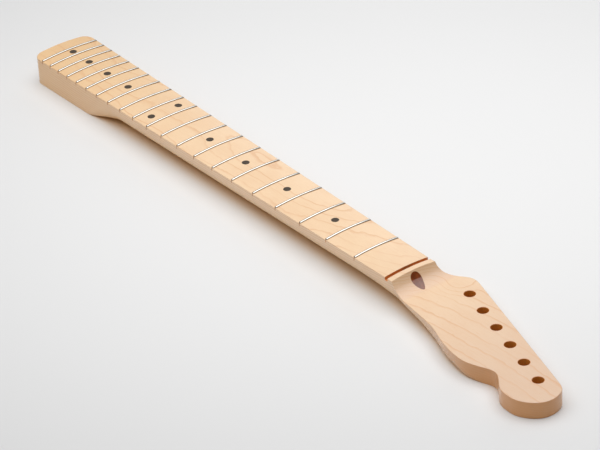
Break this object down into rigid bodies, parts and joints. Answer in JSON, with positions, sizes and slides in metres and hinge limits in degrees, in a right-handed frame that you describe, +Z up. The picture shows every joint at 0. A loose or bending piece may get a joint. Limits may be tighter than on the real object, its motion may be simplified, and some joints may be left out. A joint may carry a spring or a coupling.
{
  "type": "electric guitar neck",
  "caption": "One-piece maple bolt-on guitar neck with nickel-silver frets, black position dots, an empty nut slot, in-line tuner holes and a rod adjusted at the heel.",
  "frame": {"origin": "on the flat underside of the heel, on the centre line, 38.1 mm from the heel's end: the middle of the length that lies in the body's pocket", "axes": "+X along the neck to the tip of the head, +Y to the low-string side, where the tuner edge is, +Z up through the fingerboard"},
  "size_m": [0.6591, 0.0805, 0.0264],
  "materials": {
    "maple": "pale hard maple under a clear satin lacquer",
    "walnut": "dark walnut under a clear satin lacquer",
    "fret_wire": "polished nickel silver",
    "black_dot": "black, sanded flush and lacquered over",
    "rod_steel": "plain turned steel"
  },
  "bodies": {
    "neck": {"neck_blank": "maple", "fret_01": "fret_wire", "fret_02": "fret_wire", "fret_03": "fret_wire", "fret_04": "fret_wire", "fret_05": "fret_wire", "fret_06": "fret_wire", "fret_07": "fret_wire", "fret_08": "fret_wire", "fret_09": "fret_wire", "fret_10": "fret_wire", "fret_11": "fret_wire", "fret_12": "fret_wire", "fret_13": "fret_wire", "fret_14": "fret_wire", "fret_15": "fret_wire", "fret_16": "fret_wire", "fret_17": "fret_wire", "fret_18": "fret_wire", "fret_19": "fret_wire", "fret_20": "fret_wire", "fret_21": "fret_wire", "dot_03": "black_dot", "dot_05": "black_dot", "dot_07": "black_dot", "dot_09": "black_dot", "dot_12_low_side": "black_dot", "dot_12_high_side": "black_dot", "dot_15": "black_dot", "dot_17": "black_dot", "dot_19": "black_dot", "dot_21": "black_dot", "side_dot_03": "black_dot", "side_dot_05": "black_dot", "side_dot_07": "black_dot", "side_dot_09": "black_dot", "side_dot_12_heel_side": "black_dot", "side_dot_12_nut_side": "black_dot", "side_dot_15": "black_dot", "side_dot_17": "black_dot", "side_dot_19": "black_dot", "side_dot_21": "black_dot", "head_plug": "walnut", "back_strip": "walnut", "truss_rod": "rod_steel", "rod_anchor": "rod_steel", "rod_washer": "rod_steel"},
    "rod_nut": {"truss_rod_nut": "rod_steel"}
  },
  "joints": [
    {"name": "truss_nut_turn", "type": "hinge", "parent": "neck", "child": "rod_nut", "pos_m": [-0.03095, 0, 0.0145], "axis": [1, 0, 0], "range_deg": [-270, 270]}
  ]
}
